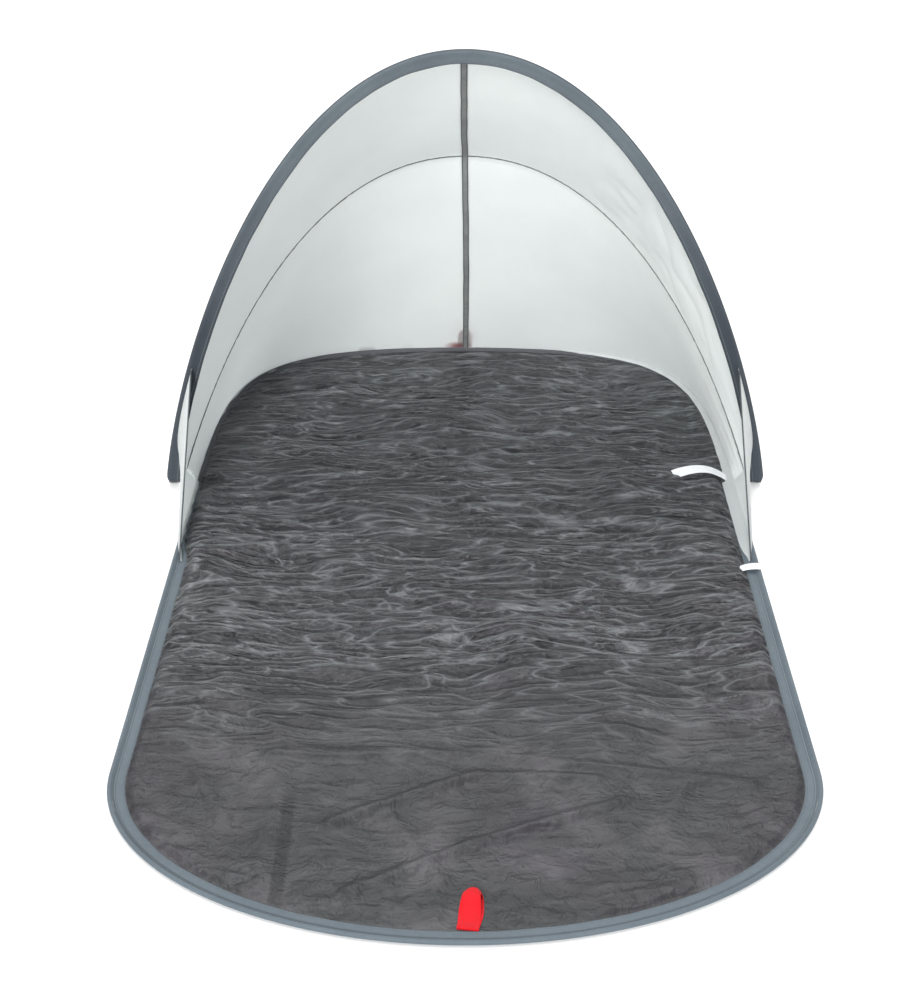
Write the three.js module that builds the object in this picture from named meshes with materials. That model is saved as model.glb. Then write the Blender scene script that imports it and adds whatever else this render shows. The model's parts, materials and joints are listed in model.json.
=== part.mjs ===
// Pop-up beach shelter: two closed spring-steel rings in fabric sleeves. The base ring goes round the
// groundsheet. The canopy ring stands up as the front arch and goes round the back of the groundsheet
// on the ground. It folds about one line across the floor, where the arch meets the ground.
//
// Millimetres. X is to the right, +Y to the back, +Z up. The origin is on the ground, in the middle.
import * as THREE from "three";
import { mergeVertices } from "three/addons/utils/BufferGeometryUtils.js";

// ---- Driving dimensions ----

const overallLength = 2000; // front edge to back edge, on the ground
const floorHalfWidth = 550; // groundsheet, across its straight sides
const hingeFromRear = 690; // back edge to the fold line
const porchRound = 370; // length of the round front end
const rearSideRun = 0.74; // how far the sides run on before the back corners turn
const rearFlat = 0.95; // how wide the back stays before the corners turn

const archHalfWidth = 608;
const archHeight = 886; // along the arch's own plane
const archLean = 2.5; // degrees that the top leans forward
const seamHalfWidth = 574; // the seam across the canopy, between roof and back
const seamHeight = 662; // from the fold line
const seamAngle = 61; // degrees up from the floor behind

const wireRadius = 2;
const ferruleWall = 0.6;
const ferruleLength = 34;
const pocketWall = 1;
const hemWidth = 28; // groundsheet hem round the porch, wire pocket and flap together
const rearHemWidth = 13; // the same hem round the back, under the canopy's foot
const archSleeveWidth = 27;
const rearSleeveWidth = 14;
const ringFlareLength = 190; // how far behind the arch the canopy ring runs in to the hem
const flapThickness = 2; // folded flap of a hem or sleeve

const floorThickness = 1.5;
const canopyThickness = 1.8;
const tapeThickness = 2.6;
const centreTapeWidth = 15;
const seamTapeWidth = 8;
const wingTop = 266; // how far up the arch the side wings reach
const wingFootFromHinge = 304; // how far they reach along the porch
const bindingWidth = 9;

const tabWidth = 32;
const tabLength = 84;
const tabLoopRadius = 7;
const webbingThickness = 1.6;
const careLabelLength = 122;
const careLabelWidth = 30;
const careLabelArch = 24; // how high it stands off the floor
const sideLabelLength = 38;
const sideLabelWidth = 24;
const sideLabelSlope = 9; // degrees down from the hem's pocket to the floor
const labelThickness = 1;

// ---- Clearances ----

const touchGap = 0.3; // between pieces that touch
const sewnGap = 1.5; // between a curved fabric edge and the piece it is sewn to
const hingeGap = 4; // each ring is open by this much at the fold line, on each side
const archStart = 14; // the arch starts this far above the fold line
const cornerStart = 20; // the canopy and the wings start this far from the fold line

// ---- Facet counts ----

const porchSteps = 44;
const rearSteps = 28;
const archSteps = 38;
const panelSteps = 14;
const wireSides = 3; // curve divisions for a round section: twice as many sides

// ---- Places worked out from the dimensions ----

const frontY = -overallLength / 2;
const rearY = overallLength / 2;
const hingeY = rearY - hingeFromRear;
const wireHole = wireRadius + ferruleWall + 2 * touchGap;
const pocketRadius = wireHole + pocketWall;
const pocketHeight = 2 * pocketRadius;
const pocketFoot = 2.6 * pocketRadius; // the hem's outer edge to the start of its flap
const hingeZ = pocketHeight + touchGap;
const hemRearY = rearY - rearSleeveWidth - touchGap;

const radians = THREE.MathUtils.degToRad;

// ---- Outlines ----

// Round the porch, from the fold line on the right to the fold line on the left.
function porchEdge() {
  const roundY = frontY + porchRound;
  const edge = new THREE.Path();
  edge.moveTo(floorHalfWidth, hingeY);
  edge.lineTo(floorHalfWidth, roundY);
  edge.absellipse(0, roundY, floorHalfWidth, porchRound, 0, Math.PI, true);
  edge.lineTo(-floorHalfWidth, hingeY);
  return edge;
}

// Round the back, from the fold line on the left to the fold line on the right.
function rearEdge() {
  const sideX = floorHalfWidth;
  const sideY = hingeY + rearSideRun * (hemRearY - hingeY);
  const cornerX = rearFlat * floorHalfWidth;
  const edge = new THREE.Path();
  edge.moveTo(-sideX, hingeY);
  edge.bezierCurveTo(-sideX, sideY, -cornerX, hemRearY, 0, hemRearY);
  edge.bezierCurveTo(cornerX, hemRearY, sideX, sideY, sideX, hingeY);
  return edge;
}

// Half of an arch in its own plane, from its foot on the right to its top.
function halfArch(halfWidth, height, footLean, footRise, crownReach) {
  const foot = new THREE.Vector2(halfWidth, 0);
  const rise = new THREE.Vector2(halfWidth * (1 - footLean), height * footRise);
  const reach = new THREE.Vector2(halfWidth * crownReach, height);
  return new THREE.CubicBezierCurve(foot, rise, reach, new THREE.Vector2(0, height));
}

const porchOutline = porchEdge();
const rearOutline = rearEdge();
const archHalf = halfArch(archHalfWidth, archHeight, 0.074, 0.33, 0.57);
const seamHalf = halfArch(seamHalfWidth, seamHeight, 0.1, 0.33, 0.6);

// The whole arch, from the right foot over the top to the left foot.
function archEdge() {
  const edge = new THREE.CurvePath();
  edge.add(archHalf);
  const [foot, rise, reach, crown] = [archHalf.v0, archHalf.v1, archHalf.v2, archHalf.v3];
  const flip = (point) => new THREE.Vector2(-point.x, point.y);
  edge.add(new THREE.CubicBezierCurve(crown, flip(reach), flip(rise), flip(foot)));
  return edge;
}

const archOutline = archEdge();

// ---- Sections, with x outwards and y up or to the back ----

function wireSection(x, y) {
  const section = new THREE.Shape();
  section.absarc(x, y, wireRadius, 0, 2 * Math.PI, false);
  return section;
}

function ferruleSection(x, y) {
  const section = new THREE.Shape();
  const inner = wireRadius + touchGap;
  section.absarc(x, y, inner + ferruleWall, 0, 2 * Math.PI, false);
  section.holes.push(new THREE.Path().absarc(x, y, inner, 0, 2 * Math.PI, true));
  return section;
}

function addPocketHole(section, x, y) {
  section.holes.push(new THREE.Path().absarc(x, y, wireHole, 0, 2 * Math.PI, true));
}

// Groundsheet hem: flat underneath, a wire pocket along its outer edge and a thin flap inside it.
function hemSection(width) {
  const section = new THREE.Shape();
  section.moveTo(-width, 0);
  section.lineTo(-pocketRadius, 0);
  section.absarc(-pocketRadius, pocketRadius, pocketRadius, -Math.PI / 2, Math.PI * 0.6, false);
  section.lineTo(-pocketFoot, flapThickness);
  section.lineTo(-width, flapThickness);
  section.closePath();
  addPocketHole(section, -pocketRadius, pocketRadius);
  return section;
}

// Arch sleeve: a flat band in the arch's plane with the wire pocket along its outer edge.
function archSleeveSection() {
  const section = new THREE.Shape();
  const half = flapThickness / 2;
  const turn = Math.PI * 0.72;
  section.moveTo(-archSleeveWidth, -half);
  section.lineTo(-pocketRadius * 2.8, -half);
  section.absarc(-pocketRadius, 0, pocketRadius, -turn, turn, false);
  section.lineTo(-pocketRadius * 2.8, half);
  section.lineTo(-archSleeveWidth, half);
  section.closePath();
  addPocketHole(section, -pocketRadius, 0);
  return section;
}

// Canopy ring's sleeve on the ground, just outside the hem.
function rearSleeveSection() {
  const section = new THREE.Shape();
  const wireX = rearWireX();
  section.moveTo(touchGap, 0);
  section.lineTo(wireX, 0);
  section.absarc(wireX, pocketRadius, pocketRadius, -Math.PI / 2, Math.PI / 2, false);
  section.lineTo(touchGap, pocketHeight);
  section.closePath();
  addPocketHole(section, wireX, pocketRadius);
  return section;
}

function rearWireX() {
  return touchGap + rearSleeveWidth - pocketRadius;
}

// ---- Turning sections and sheets into solids ----

// Moves each vertex of a geometry by a function of its own x, y and z, and leaves a closed solid.
function reshape(geometry, place) {
  const solid = geometry.clone();
  solid.deleteAttribute("normal");
  solid.deleteAttribute("uv");
  const position = solid.getAttribute("position");
  const point = new THREE.Vector3();
  for (let i = 0; i < position.count; i += 1) {
    point.fromBufferAttribute(position, i);
    point.copy(place(point.x, point.y, point.z));
    position.setXYZ(i, point.x, point.y, point.z);
  }
  const merged = mergeVertices(solid, 1e-4);
  merged.computeVertexNormals();
  return merged;
}

function straightStretch(section, steps) {
  const options = { depth: 1, steps, bevelEnabled: false, curveSegments: wireSides };
  return new THREE.ExtrudeGeometry(section, options);
}

// A section carried along part of an outline on the ground, and pushed outwards where it flares.
function groundBand(outline, section, steps, from, to, flare = () => 0) {
  return reshape(straightStretch(section, steps), (x, y, z) => {
    const u = THREE.MathUtils.lerp(from, to, z);
    const along = outline.getPointAt(u);
    const ahead = outline.getTangentAt(u);
    const out = x + flare(u);
    return new THREE.Vector3(along.x - ahead.y * out, along.y + ahead.x * out, y);
  });
}

// How far the canopy ring stands out from the hem, so that it meets the feet of the arch.
function ringFlare(u) {
  const length = rearOutline.getLength();
  const fromHinge = Math.min(u, 1 - u) * length;
  const spread = archHalfWidth - floorHalfWidth - rearSleeveWidth - touchGap;
  return spread * Math.max(0, 1 - fromHinge / ringFlareLength) ** 2;
}

// A point in the plane that turns about the fold line: out from the middle, up, and behind it.
function foldPlanePoint(x, up, behind, angle) {
  const cos = Math.cos(radians(angle));
  const sin = Math.sin(radians(angle));
  return new THREE.Vector3(x, hingeY + up * cos + behind * sin, hingeZ + up * sin - behind * cos);
}

const archAngle = 90 + archLean;

// A section carried round part of the arch.
function archBand(section, steps, from, to) {
  return reshape(straightStretch(section, steps), (x, y, z) => {
    const u = THREE.MathUtils.lerp(from, to, z);
    const along = archOutline.getPointAt(u);
    const ahead = archOutline.getTangentAt(u);
    return foldPlanePoint(along.x + ahead.y * x, along.y - ahead.x * x, y, archAngle);
  });
}

// A thin closed solid that follows a surface given by a function of two numbers from 0 to 1.
function sheetSolid(surface, thickness, columns, rows) {
  const nudge = 1e-3;
  const normalAt = (u, v) => {
    const lowU = Math.max(u - nudge, 0);
    const lowV = Math.max(v - nudge, 0);
    const alongU = surface(Math.min(u + nudge, 1), v).sub(surface(lowU, v));
    const alongV = surface(u, Math.min(v + nudge, 1)).sub(surface(u, lowV));
    return alongU.cross(alongV).normalize();
  };
  const slab = new THREE.BoxGeometry(1, 1, 1, columns, rows, 1);
  return reshape(slab, (x, y, z) => {
    const point = surface(x + 0.5, y + 0.5);
    return point.addScaledVector(normalAt(x + 0.5, y + 0.5), z * thickness);
  });
}

// ---- Canopy surface ----

// A curve's point at a share of its length, with a length left out at its foot and at its top.
function trimmedPoint(curve, share, footTrim, topTrim) {
  const length = curve.getLength();
  const from = footTrim / length;
  const to = 1 - topTrim / length;
  return curve.getPointAt(THREE.MathUtils.lerp(from, to, share));
}

const tapeTrim = centreTapeWidth / 2 + touchGap * 2;
const canopyFootX = -pocketRadius;
const canopyFootZ = pocketHeight + sewnGap;

// The canopy's lower edge, on top of the rear hem's pocket, from the fold line to the back.
function footLine(share, topTrim) {
  const half = rearOutline.getLength() / 2;
  const run = THREE.MathUtils.lerp(cornerStart, half - topTrim, share);
  const u = 1 - run / (2 * half);
  const along = rearOutline.getPointAt(u);
  const ahead = rearOutline.getTangentAt(u);
  const x = along.x - ahead.y * canopyFootX;
  return new THREE.Vector3(x, along.y + ahead.x * canopyFootX, canopyFootZ);
}

function seamLine(share, topTrim) {
  const point = trimmedPoint(seamHalf, share, cornerStart, topTrim);
  return foldPlanePoint(point.x, point.y, 0, seamAngle);
}

// The canopy's front edge, behind the arch sleeve's pocket.
function archLine(share, topTrim) {
  const point = trimmedPoint(archHalf, share, archStart + cornerStart, topTrim);
  const behind = pocketRadius + sewnGap;
  const inset = 1 - pocketRadius / archHalfWidth;
  return foldPlanePoint(point.x * inset, point.y * inset, behind, archAngle);
}

// Straight from one line to another, less a length left out at the second or the first.
function stretched(lowLine, highLine, lowTrim, highTrim, topTrim) {
  return (share, rise) => {
    const low = lowLine(share, topTrim);
    const high = highLine(share, topTrim);
    const length = low.distanceTo(high);
    const spare = Math.min(1, length / (4 * (lowTrim + highTrim)));
    const from = (spare * lowTrim) / length;
    const to = 1 - (spare * highTrim) / length;
    return low.lerp(high, THREE.MathUtils.lerp(from, to, rise));
  };
}

const seamTrim = seamTapeWidth / 2 + touchGap * 2;
const backSurface = stretched(footLine, seamLine, 0, seamTrim, tapeTrim);
const roofSurface = stretched(seamLine, archLine, seamTrim, 0, tapeTrim);

// The same surface carried on across the middle, for the tape that covers the middle seam.
function middleTape(surfaceAtMiddle) {
  const half = centreTapeWidth / 2;
  return (across, rise) => {
    const point = surfaceAtMiddle(1, rise);
    point.x = THREE.MathUtils.lerp(half, -half, across);
    return point;
  };
}

function seamTapeSurface(share, across) {
  const middle = seamLine(share, tapeTrim);
  const low = footLine(share, tapeTrim);
  const high = archLine(share, tapeTrim);
  const slope = high.sub(low).normalize();
  const width = seamTapeWidth * Math.min(1, 0.3 + 3 * share);
  return middle.addScaledVector(slope, (across - 0.5) * width);
}

// ---- Side wings ----

function wingRoot(height) {
  const point = archHalf.getPointAt(height / archHalf.getLength());
  const behind = -(pocketRadius + sewnGap);
  return foldPlanePoint(point.x - 0.5 * archSleeveWidth, point.y, behind, archAngle);
}

function wingFoot(distance) {
  const point = porchOutline.getPointAt(distance / porchOutline.getLength());
  return new THREE.Vector3(point.x - pocketFoot, point.y, flapThickness + sewnGap);
}

// The wing's corner on the arch, the line of its free edge, and the direction out of that edge.
function wingRows(rise) {
  const root = wingRoot(THREE.MathUtils.lerp(archStart + cornerStart, wingTop, rise));
  const topRoot = wingRoot(wingTop);
  const freeTop = topRoot.add(new THREE.Vector3(0, -cornerStart / 2, 0));
  const free = wingFoot(wingFootFromHinge).lerp(freeTop, rise);
  return { root, free };
}

function wingSurface(across, rise) {
  const { root, free } = wingRows(rise);
  const point = root.clone().lerp(free, across);
  const lowRow = wingRows(0);
  const straight = lowRow.root.clone().lerp(lowRow.free, across);
  const hem = wingFoot(THREE.MathUtils.lerp(cornerStart, wingFootFromHinge, across));
  hem.z = THREE.MathUtils.lerp(lowRow.root.z, hem.z, Math.min(1, 3 * across));
  return point.addScaledVector(hem.sub(straight), 1 - rise);
}

function bindingSurface(across, rise) {
  const { root, free } = wingRows(rise);
  const outwards = free.clone().sub(root).setZ(0).normalize();
  const reach = sewnGap + across * bindingWidth;
  return free.addScaledVector(outwards, reach);
}

// ---- Pull tabs and labels ----

// A strip of webbing folded into a loop: flat stitched end at x = 0, open loop at the other end.
function webbingLoop() {
  const stitched = 16;
  const pinch = 2 * webbingThickness + touchGap;
  const centre = tabLength - tabLoopRadius;
  const inner = tabLoopRadius - webbingThickness;
  const turn = Math.PI * 0.54;
  const outline = new THREE.Shape();
  outline.moveTo(0, 0);
  outline.lineTo(centre, 0);
  outline.absarc(centre, tabLoopRadius, tabLoopRadius, -Math.PI / 2, turn, false);
  outline.lineTo(stitched, pinch);
  outline.lineTo(0, pinch);
  outline.closePath();
  const space = new THREE.Path();
  space.moveTo(stitched, webbingThickness);
  space.lineTo(centre, webbingThickness);
  space.absarc(centre, tabLoopRadius, inner, -Math.PI / 2, turn, false);
  space.closePath();
  outline.holes.push(space);
  const options = { depth: tabWidth, steps: 1, bevelEnabled: false, curveSegments: 6 };
  return new THREE.ExtrudeGeometry(outline, options).translate(0, 0, -tabWidth / 2);
}

function careLabelSurface(along, across) {
  const x = -along * careLabelLength;
  const y = (across - 0.5) * careLabelWidth;
  const lift = Math.sin(Math.PI * along) * careLabelArch;
  return new THREE.Vector3(x, y, lift);
}

// ---- Materials ----

function cloth(color, roughness) {
  return new THREE.MeshStandardMaterial({ color, roughness, metalness: 0 });
}

const steel = new THREE.MeshStandardMaterial({ color: 0x8a8d90, roughness: 0.35, metalness: 1 });
const zinc = new THREE.MeshStandardMaterial({ color: 0xa7aaac, roughness: 0.45, metalness: 1 });
const groundsheetCloth = cloth(0x57575c, 0.55);
const hemCloth = cloth(0x6d7983, 0.7);
const sleeveCloth = cloth(0x4b535b, 0.7);
const canopyCloth = cloth(0xd3d6d6, 0.8);
const tapeCloth = cloth(0x6b6f6f, 0.75);
const bindingCloth = cloth(0x83888c, 0.75);
const webbing = cloth(0xe0243a, 0.7);
const labelCloth = cloth(0xeceff0, 0.6);

// ---- The object ----

const shelter = new THREE.Group();

function add(name, geometry, material) {
  const mesh = new THREE.Mesh(geometry, material);
  mesh.name = name;
  shelter.add(mesh);
  return mesh;
}

// Turns a geometry into its mirror image across the middle, with its faces still pointing out.
function mirrored(geometry) {
  const copy = geometry.clone().scale(-1, 1, 1);
  const index = copy.getIndex();
  for (let i = 0; i < index.count; i += 3) {
    const second = index.getX(i + 1);
    index.setX(i + 1, index.getX(i + 2));
    index.setX(i + 2, second);
  }
  return copy;
}

function addPair(name, geometry, material) {
  add(`${name}_right`, geometry, material);
  add(`${name}_left`, mirrored(geometry), material);
}

function buildBaseRing() {
  const front = hingeGap / porchOutline.getLength();
  const rear = hingeGap / rearOutline.getLength();
  const wire = wireSection(-pocketRadius, pocketRadius);
  const frontHem = groundBand(porchOutline, hemSection(hemWidth), porchSteps, front, 1 - front);
  const frontWire = groundBand(porchOutline, wire, porchSteps, front, 1 - front);
  const rearSection = hemSection(rearHemWidth);
  const rearHem = groundBand(rearOutline, rearSection, rearSteps, rear, 1 - rear);
  const rearWire = groundBand(rearOutline, wire, rearSteps, rear, 1 - rear);
  add("base_hem_front", frontHem, hemCloth);
  add("base_wire_front", frontWire, steel);
  add("base_hem_rear", rearHem, hemCloth);
  add("base_wire_rear", rearWire, steel);
}

// The wire's two ends meet in a crimped tube, inside the hem on the porch's left side.
function buildBaseFerrule() {
  const length = porchOutline.getLength();
  const start = 1 - 0.6 * (hingeFromRear / length);
  const section = ferruleSection(-pocketRadius, pocketRadius);
  const tube = groundBand(porchOutline, section, 1, start, start + ferruleLength / length);
  add("base_wire_ferrule", tube, zinc);
}

function buildCanopyRing() {
  const foot = archStart / archOutline.getLength();
  const rear = hingeGap / rearOutline.getLength();
  const sleeve = archBand(archSleeveSection(), archSteps, foot, 1 - foot);
  const wire = archBand(wireSection(-pocketRadius, 0), archSteps, foot, 1 - foot);
  const onGround = (section) => groundBand(rearOutline, section, rearSteps, rear, 1 - rear, ringFlare);
  add("arch_sleeve", sleeve, sleeveCloth);
  add("arch_wire", wire, steel);
  add("rear_sleeve", onGround(rearSleeveSection()), sleeveCloth);
  add("rear_wire", onGround(wireSection(rearWireX(), pocketRadius)), steel);
}

// The canopy ring's crimped tube, low down inside the arch sleeve.
function buildArchFerrule() {
  const length = archOutline.getLength();
  const start = (archStart + wingTop) / length;
  const section = ferruleSection(-pocketRadius, 0);
  add("arch_wire_ferrule", archBand(section, 1, start, start + ferruleLength / length), zinc);
}

// The groundsheet, in two panels that meet at the fold line, inside the hem.
function groundsheetPanel(outline, hem, steps, side) {
  const inset = hem + touchGap;
  const open = hingeGap / outline.getLength();
  const foldEdgeY = hingeY + side * touchGap;
  const edge = [];
  for (let i = 0; i <= steps; i += 1) {
    const u = THREE.MathUtils.lerp(open, 1 - open, i / steps);
    const along = outline.getPointAt(u);
    const ahead = outline.getTangentAt(u);
    const point = new THREE.Vector2(along.x + ahead.y * inset, along.y - ahead.x * inset);
    if ((point.y - foldEdgeY) * side > hingeGap) edge.push(point);
  }
  edge.unshift(new THREE.Vector2(edge[0].x, foldEdgeY));
  edge.push(new THREE.Vector2(edge[edge.length - 1].x, foldEdgeY));
  const options = { depth: floorThickness, bevelEnabled: false };
  return new THREE.ExtrudeGeometry(new THREE.Shape(edge), options);
}

function buildGroundsheet() {
  const porch = groundsheetPanel(porchOutline, hemWidth, porchSteps, -1);
  const rear = groundsheetPanel(rearOutline, rearHemWidth, rearSteps, 1);
  add("floor_porch", porch, groundsheetCloth);
  add("floor_rear", rear, groundsheetCloth);
}

function buildCanopy() {
  addPair("back_panel", sheetSolid(backSurface, canopyThickness, panelSteps, 7), canopyCloth);
  addPair("roof_panel", sheetSolid(roofSurface, canopyThickness, panelSteps, 5), canopyCloth);
  addPair("arc_seam_tape", sheetSolid(seamTapeSurface, tapeThickness, panelSteps, 1), tapeCloth);
  add("centre_tape_back", sheetSolid(middleTape(backSurface), tapeThickness, 1, 6), tapeCloth);
  add("centre_tape_roof", sheetSolid(middleTape(roofSurface), tapeThickness, 1, 4), tapeCloth);
}

function buildWings() {
  addPair("side_wing", sheetSolid(wingSurface, canopyThickness, 7, 6), canopyCloth);
  addPair("edge_binding", sheetSolid(bindingSurface, tapeThickness, 1, 8), bindingCloth);
}

// Loops of webbing to hold while folding: one on the front hem, one behind, leaning on the canopy.
function buildPullTabs() {
  const along = new THREE.Vector3(0, 1, 0);
  const up = new THREE.Vector3(0, 0, 1);
  const frontFrame = new THREE.Matrix4().makeBasis(along, up, along.clone().cross(up));
  const front = add("pull_tab_front", webbingLoop(), webbing);
  front.quaternion.setFromRotationMatrix(frontFrame);
  front.position.set(0, frontY + hemWidth + sewnGap, floorThickness + touchGap);

  const low = footLine(1, tapeTrim);
  const slope = seamLine(1, tapeTrim).sub(low).setX(0).normalize();
  const outwards = new THREE.Vector3(0, slope.z, -slope.y);
  const rearFrame = new THREE.Matrix4().makeBasis(slope, outwards, slope.clone().cross(outwards));
  const rear = add("pull_tab_rear", webbingLoop(), webbing);
  rear.quaternion.setFromRotationMatrix(rearFrame);
  rear.position.copy(low).setX(0);
  rear.position.addScaledVector(outwards, tapeThickness / 2 + touchGap);
  rear.position.addScaledVector(slope, touchGap * 2);
}

function buildLabels() {
  const care = sheetSolid(careLabelSurface, labelThickness, 10, 1);
  const careMesh = add("care_label", care, labelCloth);
  const careX = floorHalfWidth - rearHemWidth - sewnGap;
  const careZ = floorThickness + labelThickness / 2 + 1;
  careMesh.position.set(careX, hingeY + cornerStart, careZ);

  // Sewn to the top of the hem's pocket, just in front of the right wing, and lying down to the floor.
  const plate = new THREE.BoxGeometry(sideLabelLength, sideLabelWidth, labelThickness);
  plate.translate(-sideLabelLength / 2, 0, 0);
  const side = add("side_label", plate, labelCloth);
  const sideX = floorHalfWidth - pocketRadius / 2;
  const sideY = hingeY - wingFootFromHinge - bindingWidth - sideLabelWidth;
  side.position.set(sideX, sideY, pocketHeight + labelThickness + touchGap);
  side.rotation.y = -radians(sideLabelSlope);
}

buildBaseRing();
buildBaseFerrule();
buildCanopyRing();
buildArchFerrule();
buildGroundsheet();
buildCanopy();
buildWings();
buildPullTabs();
buildLabels();

export default shelter;
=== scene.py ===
import bisect
import json
import math

import bmesh
import bpy
from mathutils import Matrix, Vector, geometry, noise


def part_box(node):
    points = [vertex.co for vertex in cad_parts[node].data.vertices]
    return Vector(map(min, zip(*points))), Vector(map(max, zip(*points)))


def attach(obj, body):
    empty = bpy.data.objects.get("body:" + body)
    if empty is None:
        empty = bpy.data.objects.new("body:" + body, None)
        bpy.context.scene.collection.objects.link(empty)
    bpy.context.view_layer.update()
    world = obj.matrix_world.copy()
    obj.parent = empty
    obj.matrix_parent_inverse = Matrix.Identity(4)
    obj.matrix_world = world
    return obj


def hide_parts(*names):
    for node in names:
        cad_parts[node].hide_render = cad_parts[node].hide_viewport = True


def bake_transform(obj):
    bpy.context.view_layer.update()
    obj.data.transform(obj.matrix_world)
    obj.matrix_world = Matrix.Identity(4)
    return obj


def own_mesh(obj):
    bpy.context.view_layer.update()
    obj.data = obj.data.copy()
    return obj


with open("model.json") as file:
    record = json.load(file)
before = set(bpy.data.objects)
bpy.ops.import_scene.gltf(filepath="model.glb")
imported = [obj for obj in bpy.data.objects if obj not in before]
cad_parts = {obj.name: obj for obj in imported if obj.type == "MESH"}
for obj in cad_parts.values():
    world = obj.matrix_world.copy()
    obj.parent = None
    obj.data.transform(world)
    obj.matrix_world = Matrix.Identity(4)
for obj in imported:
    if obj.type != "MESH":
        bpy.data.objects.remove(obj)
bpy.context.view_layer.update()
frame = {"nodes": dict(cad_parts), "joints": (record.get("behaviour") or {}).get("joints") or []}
joints = {joint["name"]: joint for joint in frame["joints"]}
hinge = Vector(joints["arch_fold"]["pos_m"])  # the one line that everything folds about
print("frame loaded, fold line at y", round(hinge.y, 3))

# Sizes shared by several pieces, in metres
shelter = {
    "halfWidth": 0.55,  # groundsheet, across its straight sides
    "frontY": -1.0,
    "porchRound": 0.37,
    "rearY": 0.9857,
    "rearSideRun": 0.74,
    "rearFlat": 0.95,
    "pocketRadius": 0.0042,  # cloth round the spring-steel wire
    "archHalfWidth": 0.608,
    "archHeight": 0.886,
    "archAngle": math.radians(92.5),  # up from the floor behind the fold line
    "seamHalfWidth": 0.574,
    "seamHeight": 0.662,
    "seamAngle": math.radians(61),
}


def lerp(a, b, share):
    return a + (b - a) * share


def clamp(value, low=0.0, high=1.0):
    return max(low, min(high, value))


def smooth(low, high, value):
    share = clamp((value - low) / (high - low))
    return share * share * (3 - 2 * share)


def newObject(name, data):
    made = bpy.data.objects.new(name, data)
    bpy.context.scene.collection.objects.link(made)
    return made


# Camera

cameraLook = {"place": (0, -2.6894, 1.6318), "down": 29.07, "lens": 60.3, "shiftX": -0.0031}


def placeCamera(look):
    camera = newObject("camera", bpy.data.cameras.new("camera"))
    camera.location = look["place"]
    camera.rotation_euler = (math.radians(90 - look["down"]), 0, 0)
    camera.data.sensor_width = 36
    camera.data.lens = look["lens"]
    camera.data.shift_x = look["shiftX"]
    camera.data.clip_end = 100
    bpy.context.scene.camera = camera


placeCamera(cameraLook)

# Mesh helpers


def clothGrid(name, columns, rows, place, size, thickness=0.0, material=None, shape=None):
    # A grid of columns x rows, each point set by place(u, v), with a map in metres for weave and stitches.
    # With no size the map is the plan of the cloth as it lies.
    bm = bmesh.new()
    clothMap = bm.loops.layers.uv.new("clothMap")
    bmesh.ops.create_grid(bm, x_segments=columns, y_segments=rows, size=0.5)
    if size:
        mapCloth(bm, clothMap, lambda corner: ((corner.x + 0.5) * size[0], (corner.y + 0.5) * size[1]))
    for vert in bm.verts:
        vert.co = place(vert.co.x + 0.5, vert.co.y + 0.5)
    if not size:
        mapCloth(bm, clothMap, lambda corner: corner.xy)
    bmesh.ops.remove_doubles(bm, verts=bm.verts[:], dist=1e-5)
    bmesh.ops.dissolve_degenerate(bm, edges=bm.edges[:], dist=1e-6)
    if shape:
        shape(bm)
    return finishMesh(name, bm, thickness, material)


def mapCloth(bm, clothMap, mapped):
    for face in bm.faces:
        for loop in face.loops:
            loop[clothMap].uv = mapped(loop.vert.co)


def givenThickness(bm, thickness):
    # The same cloth as a thin closed shell, half to each side of the sheet.
    mesh = bpy.data.meshes.new("sheet")
    bm.to_mesh(mesh)
    bm.free()
    holder = newObject("sheet", mesh)
    shell = holder.modifiers.new("thickness", "SOLIDIFY")
    shell.thickness, shell.offset = thickness, 0
    finished = holder.evaluated_get(bpy.context.evaluated_depsgraph_get()).to_mesh()
    solid = bmesh.new()
    solid.from_mesh(finished)
    bpy.data.objects.remove(holder)
    bpy.data.meshes.remove(mesh)
    return solid


def finishMesh(name, bm, thickness, material):
    bmesh.ops.recalc_face_normals(bm, faces=bm.faces[:])
    if thickness:
        bm = givenThickness(bm, thickness)
    for face in bm.faces:
        face.smooth = True
    for edge in bm.edges:
        if edge.is_manifold and edge.calc_face_angle(0) > 1.1:
            edge.smooth = False
    mesh = bpy.data.meshes.new(name)
    bm.to_mesh(mesh)
    bm.free()
    piece = newObject(name, mesh)
    if material:
        mesh.materials.append(material)
    return piece


def runOf(points):
    # A line that can be read by its length.
    run = [0.0]
    for a, b in zip(points, points[1:]):
        run.append(run[-1] + (b - a).length)
    return {"points": points, "run": run, "length": run[-1]}


def pointAt(line, distance):
    distance = clamp(distance, 0.0, line["length"])
    i = min(max(bisect.bisect_right(line["run"], distance) - 1, 0), len(line["run"]) - 2)
    span = line["run"][i + 1] - line["run"][i] or 1e-9
    return line["points"][i].lerp(line["points"][i + 1], (distance - line["run"][i]) / span)


def loopPointAt(line, distance):
    return pointAt(line, distance % line["length"])


def bezier(a, b, c, d, steps=120):
    return geometry.interpolate_bezier(Vector(a), Vector(b), Vector(c), Vector(d), steps + 1)


# The two rings' lines


def porchLine():
    # Right fold point, round the front, to the left fold point.
    half, roundY = shelter["halfWidth"], shelter["frontY"] + shelter["porchRound"]
    points = [Vector((half, lerp(hinge.y, roundY, i / 60), 0)) for i in range(60)]
    for i in range(241):
        turn = math.pi * i / 240
        across, along = half * math.cos(turn), shelter["porchRound"] * math.sin(turn)
        points.append(Vector((across, roundY - along, 0)))
    points += [Vector((-half, lerp(roundY, hinge.y, i / 60), 0)) for i in range(1, 61)]
    return points


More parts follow.
